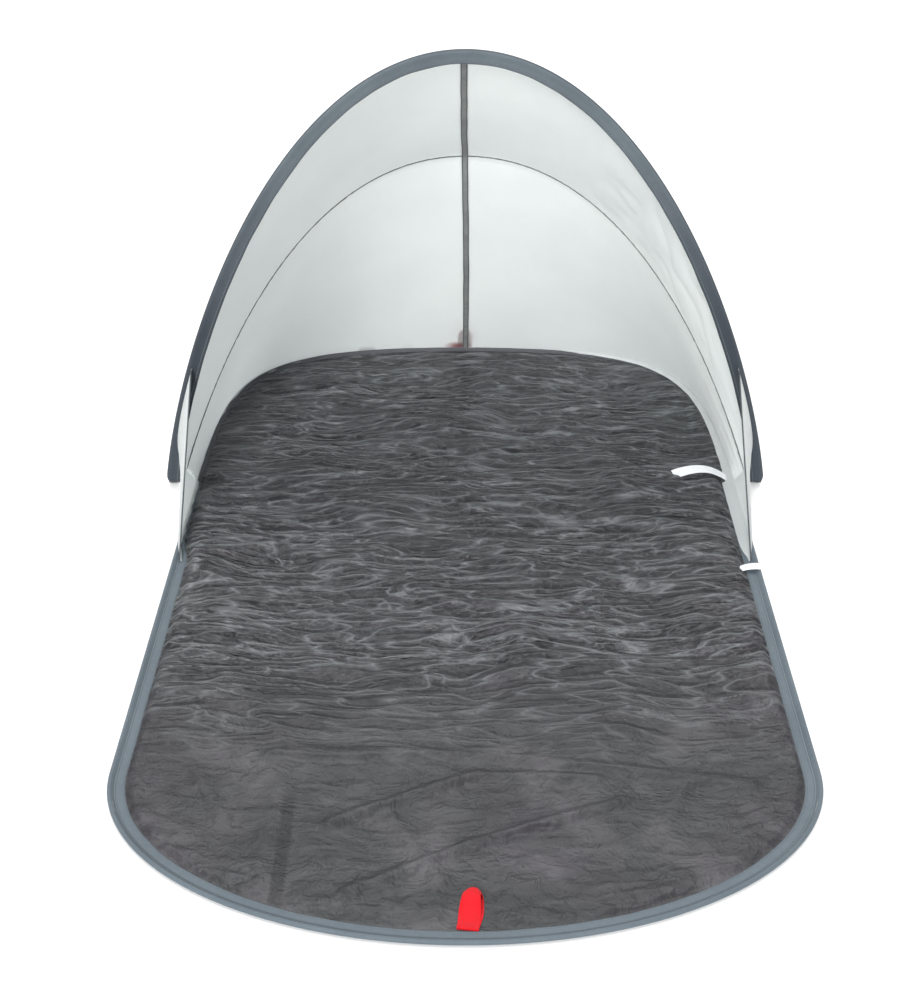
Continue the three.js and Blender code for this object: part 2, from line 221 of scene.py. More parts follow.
def rearLine():
    # Left fold point, round the back, to the right fold point.
    half, rearY = shelter["halfWidth"], shelter["rearY"]
    sideY = hinge.y + shelter["rearSideRun"] * (rearY - hinge.y)
    cornerX = shelter["rearFlat"] * half
    left = bezier((-half, hinge.y, 0), (-half, sideY, 0), (-cornerX, rearY, 0), (0, rearY, 0))
    right = bezier((0, rearY, 0), (cornerX, rearY, 0), (half, sideY, 0), (half, hinge.y, 0))
    return left + right[1:]


def inPlane(x, up, behind, angle):
    # A point on a plane that turns about the fold line.
    cos, sin = math.cos(angle), math.sin(angle)
    return Vector((x, hinge.y + up * cos + behind * sin, hinge.z + up * sin - behind * cos))


def halfArch(halfWidth, height, footLean, footRise, crownReach):
    foot, crown = (halfWidth, 0, 0), (0, height, 0)
    rise = (halfWidth * (1 - footLean), height * footRise, 0)
    reach = (halfWidth * crownReach, height, 0)
    return runOf(bezier(foot, rise, reach, crown, 200))


rearRun = runOf(rearLine())
archHalf = halfArch(shelter["archHalfWidth"], shelter["archHeight"], 0.074, 0.33, 0.57)
seamHalf = halfArch(shelter["seamHalfWidth"], shelter["seamHeight"], 0.1, 0.33, 0.6)
baseRing = runOf(porchLine() + rearLine()[1:])
baseRing["porch"] = runOf(porchLine())["length"]

canopyRingLook = {
    "flareLength": 0.19,  # how far behind the arch the ring runs in to the hem
    "rearOut": 0.0143,  # outer edge of the sleeve, out from the hem
    "footBend": 0.011,  # size of the bend where the arch comes down to the ground
}


def groundFlare(fromFold):
    spread = shelter["archHalfWidth"] - shelter["halfWidth"] - canopyRingLook["rearOut"]
    return spread * max(0, 1 - fromFold / canopyRingLook["flareLength"]) ** 2


def outwardOf(line, distance):
    ahead = pointAt(line, distance + 0.003) - pointAt(line, distance - 0.003)
    return Vector((0, 0, 1)).cross(ahead).normalized()


def canopyRingLine():
    # Right foot, over the arch, left foot, and round the ground behind, closed.
    bend = canopyRingLook["footBend"]
    side = [inPlane(p.x, p.y, 0, shelter["archAngle"]) for p in archHalf["points"] if p.y > bend]
    arch = side + [Vector((-p.x, p.y, p.z)) for p in reversed(side[:-1])]
    ground = []
    for i in range(241):
        run = lerp(bend, rearRun["length"] - bend, i / 240)
        fromFold = min(run, rearRun["length"] - run)
        outwards = canopyRingLook["rearOut"] + groundFlare(fromFold)
        place = pointAt(rearRun, run) + outwardOf(rearRun, run) * outwards
        place.z = shelter["pocketRadius"]
        ground.append(place)

    def footBend(start, startWay, end, endWay):
        reach = bend * 0.62
        return bezier(start, start + startWay * reach, end - endWay * reach, end, 16)[1:-1]

    down, up = Vector((0, 0, -1)), Vector((0, 0, 1))
    left = footBend(arch[-1], down, ground[0], Vector((0, 1, 0)))
    right = footBend(ground[-1], Vector((0, -1, 0)), arch[0], up)
    points = arch + left + ground + right + [arch[0]]
    ring = runOf(points)
    ring["arch"] = runOf(arch)["length"]
    return ring


canopyRing = canopyRingLine()
behindArch = Vector((0, math.sin(shelter["archAngle"]), -math.cos(shelter["archAngle"])))


def ringFrame(line, distance, upWay):
    # The place on a ring, its outward direction and the direction through its band.
    ahead = (loopPointAt(line, distance + 0.003) - loopPointAt(line, distance - 0.003)).normalized()
    out = upWay.cross(ahead).normalized()
    return loopPointAt(line, distance), out, ahead.cross(out)


# Materials


def tone(red, green, blue):
    # Screen colour, 0 to 255, to scene colour.
    def one(value):
        value /= 255
        return value / 12.92 if value <= 0.04045 else ((value + 0.055) / 1.055) ** 2.4

    return (one(red), one(green), one(blue), 1)


class NodeSheet:
    # The nodes of one material, with its surface shader ready.
    def __init__(self, name, roughness, sheen=0.0, metallic=0.0, specular=0.5):
        self.material = bpy.data.materials.new(name)
        self.material.use_nodes = True
        self.tree = self.material.node_tree
        self.surface = self.tree.nodes["Principled BSDF"]
        settings = {"Roughness": roughness, "Sheen Weight": sheen, "Sheen Roughness": 0.4}
        settings.update({"Metallic": metallic, "Specular IOR Level": specular})
        for socketName, value in settings.items():
            self.surface.inputs[socketName].default_value = value
        coords = self.tree.nodes.new("ShaderNodeTexCoord")
        self.objectPlace = coords.outputs["Object"]
        self.clothPlace = coords.outputs["UV"]
        self.bumps = None

    def node(self, kind, links=None, **values):
        made = self.tree.nodes.new("ShaderNode" + kind)
        for key, value in values.items():
            if hasattr(made, key):
                setattr(made, key, value)
            else:
                made.inputs[key.replace("_", " ")].default_value = value
        for key, source in (links or {}).items():
            self.tree.links.new(source, made.inputs[key])
        return made

    def noise(self, place, scale, detail=3.0, rough=0.55, distortion=0.0, stretch=None):
        if stretch:
            place = self.node("Mapping", {"Vector": place}, Scale=stretch).outputs["Vector"]
        looks = {"Scale": scale, "Detail": detail, "Roughness": rough, "Distortion": distortion}
        return self.node("TexNoise", {"Vector": place}, **looks).outputs["Fac"]

    def bands(self, place, direction, spacing):
        # Ribs at a spacing in metres.
        looks = {"bands_direction": direction, "Scale": math.pi / (10 * spacing)}
        return self.node("TexWave", {"Vector": place}, **looks).outputs["Fac"]

    def feed(self, socket, value):
        if hasattr(value, "is_output"):
            self.tree.links.new(value, socket)
        else:
            socket.default_value = value

    def maths(self, operation, a, b):
        made = self.node("Math", operation=operation)
        for socket, value in zip(made.inputs, (a, b)):
            self.feed(socket, value)
        return made.outputs[0]

    def times(self, a, b):
        return self.maths("MULTIPLY", a, b)

    def awayFrom(self, value, middle):
        return self.maths("ABSOLUTE", self.maths("SUBTRACT", value, middle), 0)

    def clothAxis(self, axis):
        # One coordinate of the cloth's map, in metres.
        return self.node("SeparateXYZ", {"Vector": self.clothPlace}).outputs[axis]

    def stretchRange(self, value, low, high, toLow=0.0, toHigh=1.0):
        limits = {"From_Min": low, "From_Max": high, "To_Min": toLow, "To_Max": toHigh}
        return self.node("MapRange", {"Value": value}, **limits).outputs["Result"]

    def mix(self, share, a, b):
        made = self.node("MixRGB")
        for socket, value in zip(made.inputs, (share, a, b)):
            self.feed(socket, value)
        return made.outputs["Color"]

    def bump(self, height, distance, strength=1.0):
        links = {"Height": height}
        if self.bumps:
            links["Normal"] = self.bumps
        self.bumps = self.node("Bump", links, Distance=distance, Strength=strength).outputs["Normal"]

    def stitchRow(self, colour, thread, across, spacing=0.0042):
        # A row of lockstitches along the cloth, at a place across its map, with painted shade in the groove
        # beside it.
        off = self.awayFrom(self.clothAxis("Y"), across)
        line = self.stretchRange(off, 0.0003, 0.0007, 1.0, 0.0)
        stitches = self.stretchRange(self.bands(self.clothPlace, "X", spacing), 0.25, 0.45)
        row = self.times(line, stitches)
        self.bump(row, 0.0008, 0.8)
        # Painted shade in the groove along the stitches.
        stitchGrooveShade = self.stretchRange(off, 0.0004, 0.0022, 0.35, 0.0)
        return self.mix(row, self.mix(stitchGrooveShade, colour, tone(40, 46, 52)), thread)

    def letLightThrough(self, colour, share):
        glow = self.node("BsdfTranslucent")
        self.feed(glow.inputs["Color"], colour)
        both = self.node("MixShader", {1: self.surface.outputs[0], 2: glow.outputs[0]}, Fac=share)
        self.tree.links.new(both.outputs[0], self.tree.nodes["Material Output"].inputs["Surface"])

    def finish(self, colour, roughness=None):
        self.feed(self.surface.inputs["Base Color"], colour)
        if roughness is not None:
            self.tree.links.new(roughness, self.surface.inputs["Roughness"])
        if self.bumps:
            self.tree.links.new(self.bumps, self.surface.inputs["Normal"])
        return self.material


def wovenCloth(name, look):
    # Plain weave with uneven dye; the map on the cloth is in metres.
    sheet = NodeSheet(name, look["roughness"], look.get("sheen", 0.1), specular=look.get("specular", 0.4))
    place = sheet.clothPlace if look.get("mapped", True) else sheet.objectPlace
    warp = sheet.bands(place, "X", look["thread"])
    weft = sheet.bands(place, "Y", look["thread"])
    weave = sheet.times(warp, weft)
    clouds = sheet.noise(sheet.objectPlace, look.get("cloudScale", 5), 4)
    specks = sheet.noise(sheet.objectPlace, look.get("speckScale", 140), 3)
    colour = sheet.mix(sheet.stretchRange(clouds, 0.35, 0.65), look["colour"], look["second"])
    dark = [channel * 0.72 for channel in look["colour"][:3]] + [1]
    shade = sheet.times(sheet.stretchRange(specks, 0.3, 0.7), look.get("specks", 0.25))
    colour = sheet.mix(shade, colour, dark)
    colour = sheet.mix(sheet.times(weave, look.get("weaveShade", 0.12)), colour, dark)
    sheet.bump(weave, look.get("weaveHeight", 0.00015), 0.6)
    crinkles = sheet.noise(sheet.objectPlace, look.get("crinkleScale", 55), 4, 0.6, 0.4)
    sheet.bump(crinkles, look.get("crinkle", 0.0008), 0.5)
    rough = sheet.stretchRange(specks, 0.3, 0.7, look["roughness"] - 0.05, look["roughness"] + 0.08)
    return sheet, colour, rough


def plainWeave(name, look):
    sheet, colour, rough = wovenCloth(name, look)
    return sheet.finish(colour, rough)


# Fold angles and shares; the pieces are baked in place, not folded


def foldAngle(point):
    # 0 on the floor behind the fold line, 90 degrees straight up, 180 on the porch.
    return math.atan2(max(point.z - hinge.z, 0), point.y - hinge.y)


def canopyShare(point):
    return clamp(foldAngle(point) / shelter["archAngle"])


def wingShare(point):
    return clamp((math.pi - foldAngle(point)) / (math.pi - shelter["archAngle"]))


def fanBlend(piece, shareOf):
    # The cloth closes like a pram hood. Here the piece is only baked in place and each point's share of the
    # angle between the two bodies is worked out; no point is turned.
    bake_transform(piece)
    shares = [shareOf(vert.co) for vert in piece.data.vertices]


def foldCanopy(piece):
    fanBlend(piece, canopyShare)


def foldWing(piece):
    fanBlend(piece, wingShare)


def foldFloor(piece):
    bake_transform(piece)


# Groundsheet

groundsheetLook = {
    "columns": 112,
    "rows": 430,
    "thickness": 0.0005,
    "rest": 0.0012,  # height of the flat cloth
    "hemTuck": 0.006,  # how far its edge goes under the hem
    "tabMiddle": 0.007,  # where across it the front webbing loop lies
    "longFolds": 0.0085,  # height of the long folds across it
    "crossFolds": 0.0045,
    "crinkles": 0.0022,
    "edgePuckers": 0.0045,
    "wrinklesGrow": (-0.70, -0.40),  # from front to back
    "edgeBand": (0.13, 0.02),  # where the puckers are, from the edge
    "underCanopy": 0.72,  # share of the height lost where the folded canopy lies
    # pressed creases in the porch: two ends, height, width
    "creases": [
        ((-0.20, -0.75), (0.02, -0.635), 0.012, 0.020),
        ((0.02, -0.635), (0.20, -0.645), 0.010, 0.018),
        ((-0.165, -0.90), (0.0, -0.80), 0.010, 0.018),
        ((0.0, -0.80), (0.24, -0.70), 0.011, 0.020),
        ((-0.30, -0.58), (0.06, -0.59), 0.011, 0.022),
        ((0.06, -0.59), (0.44, -0.66), 0.010, 0.020),
        ((-0.27, -0.58), (-0.34, -0.46), 0.010, 0.020),
        ((-0.12, -0.72), (-0.03, -0.88), 0.006, 0.018),
        ((0.30, -0.74), (0.36, -0.60), 0.008, 0.018),
        ((-0.42, -0.62), (-0.36, -0.74), 0.008, 0.018),
    ],
    "pleat": (-0.272, -0.93, -0.61, 0.020, 0.004),  # x, front end, back end, half width, depth
    "cloth": {
        "colour": tone(51, 54, 55),
        "second": tone(54, 51, 56),
        # painted shade in the hollows between the folds
        "hollowShade": tone(33, 34, 36),
        "paintedSheen": tone(80, 77, 81),  # painted sheen patches in the porch
        # painted highlights on the crests of the folds, broad and fine
        "crestHighlight": tone(118, 121, 123),
        "fineCrestHighlight": tone(110, 111, 114),
        # painted shade inside the long pleat
        "pleat": tone(24, 25, 27),
        "thread": 0.0011,
        "drift": 0.14,  # how far the folds wander
        "foldsGrow": (-0.62, -0.3),  # from front to back
        "porchBegins": (-0.35, -0.6),  # from back to front
        "foldDepth": 0.013,
        "fineDepth": 0.0022,
        "crumpleDepth": 0.008,
    },
}

hemLook = {
    "steps": 560,
    "around": 26,
    "frontWidth": 0.028,
    "rearWidth": 0.013,
    "narrowsBeforeFold": (0.31, 0.22),  # where it starts and ends, ahead of the left fold point
    "widensOver": 0.07,  # behind the right fold point
    "flap": 0.0022,  # height of the flat part inside the wire pocket
    "wave": 0.0009,  # unevenness of its inner edge
    "ripple": 0.0004,
    "stitchRows": (0.0137, 0.0246),  # across its map, beside the wire and at the inner edge
}


def floorOutline():
    # How far the floor's edge is from the middle, by angle. It ends a little way under the hem.
    table = []
    for i in range(720):
        distance = baseRing["length"] * i / 720
        place, out, _ = ringFrame(baseRing, distance, Vector((0, 0, 1)))
        edge = place - out * (hemWidthAt(distance) - groundsheetLook["hemTuck"])
        x, y = edge.x / shelter["halfWidth"], edge.y
        table.append((math.atan2(y, x), math.hypot(x, y)))
    table.sort()
    angles = [row[0] for row in table]

    def reach(angle):
        i = bisect.bisect_left(angles, angle)
        low, high = table[(i - 1) % len(table)], table[i % len(table)]
        span = (high[0] - low[0]) % (2 * math.pi) or 1e-9
        return lerp(low[1], high[1], ((angle - low[0]) % (2 * math.pi)) / span)

    return reach


def hemWidthAt(distance):
    # Wide round the porch, narrow beside the left wing and round the back.
    distance %= baseRing["length"]
    fromLeft, fullyNarrow = hemLook["narrowsBeforeFold"]
    narrow = smooth(baseRing["porch"] - fromLeft, baseRing["porch"] - fullyNarrow, distance)
    widensAgain = smooth(0.0, hemLook["widensOver"], baseRing["length"] - distance)
    return lerp(hemLook["frontWidth"], hemLook["rearWidth"], min(narrow, widensAgain))


def ridge(value, sharpness):
    return (1 - min(1, abs(value) * 1.7)) ** sharpness


def creaseHeight(x, y):
    height = 0.0
    for (ax, ay), (bx, by), tall, wide in groundsheetLook["creases"]:
        dx, dy = bx - ax, by - ay
        share = clamp(((x - ax) * dx + (y - ay) * dy) / (dx * dx + dy * dy))
        wander = 0.008 * noise.noise(Vector((x * 9, y * 9, 3.1)))
        gap = abs(math.hypot(x - ax - share * dx, y - ay - share * dy) + wander)
        height = max(height, tall * max(0.0, 1 - gap / wide) ** 1.3)
    return height


def pleatHeight(x, y):
    middle, front, back, half, deep = groundsheetLook["pleat"]
    ends = smooth(front - 0.02, front + 0.03, y) * (1 - smooth(back - 0.05, back + 0.02, y))
    offset = (x - middle) / half
    if abs(offset) > 2.6:
        return 0.0
    profile = clamp(1 - abs(offset + 1.0) / 0.9) - 0.6 * clamp(1 - abs(offset - 1.0) / 0.8)
    return deep * profile * ends


def floorWrinkle(x, y, fromEdge):
    look = groundsheetLook
    wander = 0.030 * noise.noise(Vector((x * 2.6, y * 2.6, 7.0)))
    wander += 0.012 * noise.noise(Vector((x * 9, y * 9, 2.0)))
    patches = 0.5 + 0.5 * noise.noise(Vector((x * 3.1, y * 4.0, 11.0)))
    rear = smooth(*look["wrinklesGrow"], y)
    along = y + wander
    folds = noise.ridged_multi_fractal(Vector((x * 3.4, along * 15.0, 0.3)), 0.85, 2.15, 3, 0.92, 2.0)
    crossA = ridge(noise.noise(Vector((x * 6 + y * 3, (along + 0.42 * x) * 23, 9.0))), 2.2)
    crossB = ridge(noise.noise(Vector((x * 6 - y * 3, (along - 0.5 * x) * 23, 19.0))), 2.2)
    fine = noise.ridged_multi_fractal(Vector((x * 17, along * 31, 1.7)), 0.8, 2.1, 2, 0.9, 2.0)
    edge = smooth(*look["edgeBand"], fromEdge)
    puckers = ridge(noise.noise(Vector((x * 26, y * 34, 23.0))), 1.6)
    height = look["longFolds"] * folds * (0.08 + 0.92 * rear) * (0.45 + 0.55 * patches)
    height += look["crossFolds"] * (crossA * patches + crossB * (1 - patches)) * (0.2 + 0.8 * rear)
    height += look["crinkles"] * fine * (0.40 + 0.55 * edge + 0.45 * rear)
    height += look["edgePuckers"] * puckers * edge
    height += (creaseHeight(x, y) + pleatHeight(x, y)) * (1 - 0.7 * rear)
    height *= smooth(0.0, 0.016, fromEdge)
    height *= clearOfTab(x, y)
    # Near the edge behind the fold line it leaves room for the folded canopy.
    underCanopy = smooth(hinge.y, hinge.y + 0.08, y) * smooth(0.2, 0.02, fromEdge)
    return height * (1 - look["underCanopy"] * underCanopy)


def clearOfTab(x, y):
    # The cloth lies flat under the front webbing loop.
    beside = smooth(0.024, 0.048, abs(x - groundsheetLook["tabMiddle"]))
    beyond = smooth(shelter["frontY"] + 0.10, shelter["frontY"] + 0.14, y)
    return 0.03 + 0.97 * max(beside, beyond)


def groundsheetPoint(reach):
    def place(u, v):
        a, b = 2 * u - 1, 2 * v - 1
        x = a * math.sqrt(1 - b * b / 2)
        y = b * math.sqrt(1 - a * a / 2)
        radius = math.hypot(x, y)
        far = reach(math.atan2(y, x)) if radius > 1e-9 else 1.0
        px, py = x * far * shelter["halfWidth"], y * far
        edgeLength = math.hypot(x * shelter["halfWidth"], y) / max(radius, 1e-9) * far
        fromEdge = (1 - radius) * edgeLength - groundsheetLook["hemTuck"]
        lift = max(0.0, floorWrinkle(px, py, max(0.0, fromEdge)))
        return Vector((px, py, groundsheetLook["rest"] + lift))

    return place


def crestLines(sheet, place, stretch, turn, width, detail=2.0):
    # Long thin folds that wander and branch: 1 on a fold's crest, 0 in the flat cloth.
    turned = sheet.node("Mapping", {"Vector": place}, Rotation=(0, 0, turn), Scale=stretch)
    wandering = sheet.noise(turned.outputs["Vector"], 1.0, detail, 0.5)
    return sheet.stretchRange(sheet.awayFrom(wandering, 0.5), 0.0, width, 1.0, 0.0)


def pleatShade(sheet, along):
    # Painted shade on the inside of the long pleat in the porch.
    middle, front, back, half, _ = groundsheetLook["pleat"]
    across = sheet.awayFrom(sheet.clothAxis("X"), middle + half * 0.3)
    band = sheet.stretchRange(across, half * 0.35, half * 0.6, 0.85, 0.0)
    behindFront = sheet.stretchRange(along, front - 0.02, front + 0.05)
    beforeBack = sheet.stretchRange(along, back - 0.02, back - 0.12)
    return sheet.times(band, sheet.times(behindFront, beforeBack))


def groundsheetMaterial():
    look = groundsheetLook["cloth"]
    sheet = NodeSheet("groundsheet_coated", 0.42, 0.0, specular=0.35)
    place = sheet.clothPlace
    drift = sheet.node("TexNoise", {"Vector": place}, Scale=4.0, Detail=1.0, Roughness=0.4).outputs["Color"]
    drift = sheet.node("VectorMath", {0: drift}, operation="SCALE", Scale=look["drift"]).outputs["Vector"]
    loose = sheet.node("VectorMath", {0: place, 1: drift}, operation="ADD").outputs["Vector"]
    longFolds = crestLines(sheet, loose, (3, 22, 1), 0.0, 0.15, 2.0)
    leftFolds = crestLines(sheet, loose, (6, 26, 1), 0.42, 0.13, 1.0)
    rightFolds = crestLines(sheet, loose, (6, 26, 3), -0.46, 0.13, 1.0)
    fine = crestLines(sheet, loose, (34, 60, 1), 0.1, 0.2, 2.0)
    along = sheet.clothAxis("Y")
    fromFront = sheet.stretchRange(along, *look["foldsGrow"], 0.12, 1.0)
    fine = sheet.times(fine, sheet.stretchRange(along, *look["foldsGrow"], 0.35, 1.0))
    porch = sheet.stretchRange(along, *look["porchBegins"])
    slanting = sheet.maths("MAXIMUM", leftFolds, rightFolds)
    creased = sheet.maths("ADD", sheet.times(slanting, 0.45), sheet.times(longFolds, 0.55))
    creased = sheet.times(creased, fromFront)

    clouds = sheet.noise(place, 2.6, 4)
    patches = sheet.noise(loose, 1.0, 4, 0.6, 0.0, (3, 16, 1))
    crumpled = sheet.noise(place, 24, 5, 0.6, 0.6)
    crumpled = sheet.times(crumpled, sheet.stretchRange(porch, 0, 1, 0.3, 1.0))
    # Painted sheen: lighter patches in the porch.
    paintedSheen = sheet.stretchRange(sheet.noise(place, 7, 3, 0.5, 0.5), 0.5, 0.66)
    weave = sheet.times(sheet.bands(place, "X", look["thread"]), sheet.bands(place, "Y", look["thread"]))
    colour = sheet.mix(sheet.stretchRange(clouds, 0.38, 0.62), look["colour"], look["second"])
    # Painted shade: darker stretched patches between the folds, stronger towards the back.
    hollowShade = sheet.stretchRange(patches, 0.35, 0.6)
    hollowShade = sheet.times(hollowShade, sheet.stretchRange(porch, 0, 1, 0.85, 0.4))
    colour = sheet.mix(hollowShade, colour, look["hollowShade"])
    colour = sheet.mix(sheet.times(sheet.times(paintedSheen, porch), 0.6), colour, look["paintedSheen"])
    # Painted highlight along the crests of the folds.
    crestHighlight = sheet.times(sheet.maths("POWER", slanting, 8.0), sheet.times(fromFront, 0.75))
    colour = sheet.mix(crestHighlight, colour, look["crestHighlight"])
    fineCrestHighlight = sheet.times(sheet.maths("POWER", fine, 5.0), 0.35)
    colour = sheet.mix(fineCrestHighlight, colour, look["fineCrestHighlight"])
    colour = sheet.mix(pleatShade(sheet, along), colour, look["pleat"])
    sheet.bump(weave, 0.0001, 0.35)
    sheet.bump(creased, look["foldDepth"])
    sheet.bump(fine, look["fineDepth"])
    sheet.bump(crumpled, look["crumpleDepth"])
    rough = sheet.stretchRange(patches, 0.3, 0.7, 0.36, 0.5)
    return sheet.finish(colour, rough)


def hemMaterial():
    look = {
        "colour": tone(94, 105, 113), "second": tone(86, 97, 105), "roughness": 0.62,
        "thread": 0.0009, "cloudScale": 7, "crinkleScale": 70, "crinkle": 0.0012,
    }
    sheet, colour, rough = wovenCloth("hem_cloth_twill", look)
    behind = sheet.stretchRange(sheet.clothAxis("X"), baseRing["porch"] - 0.004, baseRing["porch"] + 0.004)
    colour = sheet.mix(behind, colour, tone(70, 71, 75))
    for across in hemLook["stitchRows"]:
        colour = sheet.stitchRow(colour, tone(124, 134, 141), across)
    return sheet.finish(colour, rough)


print("groundsheet")
groundsheet = clothGrid(
    "groundsheet", groundsheetLook["columns"], groundsheetLook["rows"], groundsheetPoint(floorOutline()),
    None, groundsheetLook["thickness"], groundsheetMaterial(),
)
foldFloor(groundsheet)
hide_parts("floor_porch", "floor_rear")

# Hem and wire pocket of the groundsheet


def hemSection(share, width):
    # From the outer tip over the top to the inner edge, and back underneath: (inwards, up).
    radius, flap = shelter["pocketRadius"], hemLook["flap"]
    top = share < 0.5
    run = share * 2 if top else 2 - share * 2
    inwards = width * (1 - math.cos(run * math.pi)) / 2
    if inwards < radius:
        bulge = math.sqrt(max(0.0, radius**2 - (inwards - radius) ** 2))
        upper, lower = radius + bulge, max(0.0, radius - bulge)
    else:
        upper = lerp(2 * radius, flap, smooth(radius, 2.7 * radius, inwards))
        lower = 0.0
    stitched = math.exp(-(((inwards - 2.75 * radius) / 0.0012) ** 2))
    rolled = math.exp(-(((width - inwards - 0.0016) / 0.0013) ** 2))
    upper += 0.0007 * rolled - 0.0006 * stitched
    closing = clamp((width - inwards) / 0.0012)
    upper = lerp(flap * 0.4, upper, math.sqrt(closing))
    return inwards, (upper if top else min(lower, upper))


def hemPoint(u, v):
    distance = u * baseRing["length"]
    place, out, _ = ringFrame(baseRing, distance, Vector((0, 0, 1)))
    width = hemWidthAt(distance)
    wave = noise.noise(place * 14) * hemLook["wave"] + noise.noise(place * 60) * hemLook["ripple"]
    inwards, up = hemSection(v % 1.0, width + wave)
    pucker = noise.noise(Vector((place.x * 55, place.y * 55, inwards * 90)))
    if up > 0.0005:
        up += hemLook["ripple"] * pucker * smooth(0.006, 0.014, inwards)
    return place - out * inwards + Vector((0, 0, up))


print("groundsheet hem")
groundsheetHem = clothGrid(
    "groundsheet_hem", hemLook["steps"], hemLook["around"], hemPoint,
    (baseRing["length"], 0.062), 0.0, hemMaterial(),
)
foldFloor(groundsheetHem)
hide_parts("base_hem_front", "base_hem_rear")

# Sleeve of the canopy ring

sleeveLook = {
    "steps": 620,
    "around": 26,
    "archWidth": 0.027,
    "rearWidth": 0.0142,
    "edge": 0.0012,  # half the height of its flat inner edge
    "stitchRows": (0.0212, 0.0388),  # across its map, on the back and on the front
}


def ringUp(distance):
    # Through the band: up on the ground, backwards on the arch, turning at the feet.
    distance %= canopyRing["length"]
    archEnd, bend = canopyRing["arch"], canopyRingLook["footBend"] * 1.5
    if distance <= archEnd:
        return behindArch
    share = smooth(0, bend, min(distance - archEnd, canopyRing["length"] - distance))
    return behindArch.lerp(Vector((0, 0, 1)), share).normalized()


def sleeveWidthAt(distance):
    distance %= canopyRing["length"]
    past = distance - canopyRing["arch"]
    behind = min(past, canopyRing["length"] - distance) if past > 0 else 0.0
    return lerp(sleeveLook["archWidth"], sleeveLook["rearWidth"], smooth(0.0, 0.05, behind))


def sleeveSection(share, width):
    # From the outer tip along the back to the inner edge, and along the front: (inwards, behind).
    radius, edge = shelter["pocketRadius"], sleeveLook["edge"]
    back = share < 0.5
    run = share * 2 if back else 2 - share * 2
    inwards = width * (1 - math.cos(run * math.pi)) / 2
    if inwards < radius:
        half = math.sqrt(max(0.0, radius**2 - (inwards - radius) ** 2))
    else:
        half = lerp(radius, edge, smooth(radius, min(width, 0.02), inwards) ** 0.8)
    half *= math.sqrt(clamp((width - inwards) / 0.0015))
    return inwards, (half if back else -half)


def sleevePoint(u, v):
    distance = (u % 1.0) * canopyRing["length"]
    place, out, through = ringFrame(canopyRing, distance, ringUp(distance))
    width = sleeveWidthAt(distance) + 0.0009 * noise.noise(place * 22)
    inwards, behind = sleeveSection(v % 1.0, width)
    drag = noise.noise(Vector((distance * 34, inwards * 60, 5.0))) * 0.0005
    drag += noise.noise(Vector((distance * 90, inwards * 30, 8.0))) * 0.0003
    if abs(behind) > 0.0006:
        behind += drag * smooth(0.003, 0.012, inwards)
    return place - out * inwards + through * behind


def sleeveMaterial():
    look = {
        "colour": tone(96, 106, 112), "second": tone(84, 93, 100), "roughness": 0.6,
        "thread": 0.0009, "cloudScale": 8, "crinkleScale": 60, "crinkle": 0.0016,
    }
    sheet, colour, rough = wovenCloth("sleeve_cloth_twill", look)
    # Painted shade: the sleeve is darker away from the crown, down the arch and round the ground behind.
    fromCrown = sheet.awayFrom(sheet.clothAxis("X"), canopyRing["arch"] / 2)
    low = sheet.stretchRange(fromCrown, 0.35, 0.8, 0.0, 0.9)
    colour = sheet.mix(low, colour, tone(44, 50, 58))
    # Painted shade on the rounded outer edge of the sleeve, where it folds round the wire.
    wireEdgeShade = sheet.stretchRange(sheet.bands(sheet.clothPlace, "Y", 0.03), 0.0, 0.4, 0.75, 0.0)
    colour = sheet.mix(wireEdgeShade, colour, tone(48, 54, 60))
    for across in sleeveLook["stitchRows"]:
        colour = sheet.stitchRow(colour, tone(116, 124, 130), across)
    return sheet.finish(colour, rough)


print("canopy ring sleeve")
ringSleeve = clothGrid(
    "canopy_ring_sleeve", sleeveLook["steps"], sleeveLook["around"], sleevePoint,
    (canopyRing["length"], 0.06), 0.0, sleeveMaterial(),
)
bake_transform(ringSleeve)
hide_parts("arch_sleeve", "rear_sleeve")

# Canopy

canopyLook = {
    "columns": 220,
    "foldRows": 5,
    "backRows": 34,
    "roofRows": 26,
    "thickness": 0.0006,
    "cornerStart": 0.001,
    "archStart": 0.016,
    "backSag": 0.010,
    "roofSag": 0.008,
    "drag": 0.0022,  # height of the pulls in the cloth
    "flap": 0.012,  # how far its foot lies on the floor
    "flapLean": 0.008,  # more of it on the right, less on the left
    "flapNarrows": 0.007,  # less of it in the middle
    "flapWaves": 0.0015,
    "flapBulge": 0.0014,
    "crumple": 0.005,  # depth of the creases on the right of the roof
    "puckers": 0.0009,  # along the seams
    "paintedLoopShowThrough": (-0.017, 0.975, 0.012),  # where a reddish shade is painted on the thin cloth, as if the red loop behind showed through
    "lightThrough": 0.6,  # share of the light that each face of the cloth passes on
}
canopyRows = canopyLook["foldRows"] + canopyLook["backRows"] + canopyLook["roofRows"]


def trimmedPoint(line, share, trim):
    return pointAt(line, lerp(trim, line["length"], share))


def canopyFoot(side, share, inwards, up):
    half = rearRun["length"] / 2
    run = rearRun["length"] - lerp(canopyLook["cornerStart"], half, share)
    place = pointAt(rearRun, run) - outwardOf(rearRun, run) * inwards
    return Vector((place.x * side, place.y, up))


def canopySeam(side, share):
    point = trimmedPoint(seamHalf, share, canopyLook["cornerStart"])
    return inPlane(point.x * side, point.y, 0, shelter["seamAngle"])


def canopyFront(side, share):
    point = trimmedPoint(archHalf, share, canopyLook["archStart"])
    inset = 1 - shelter["pocketRadius"] / shelter["archHalfWidth"]
    return inPlane(point.x * side * inset, point.y * inset, 0.0036, shelter["archAngle"])


def towardsInside(point):
    # From the cloth to the middle of the shelter.
    inside = Vector((0, hinge.y + 0.12, 0.16)) - point
    return inside.normalized()


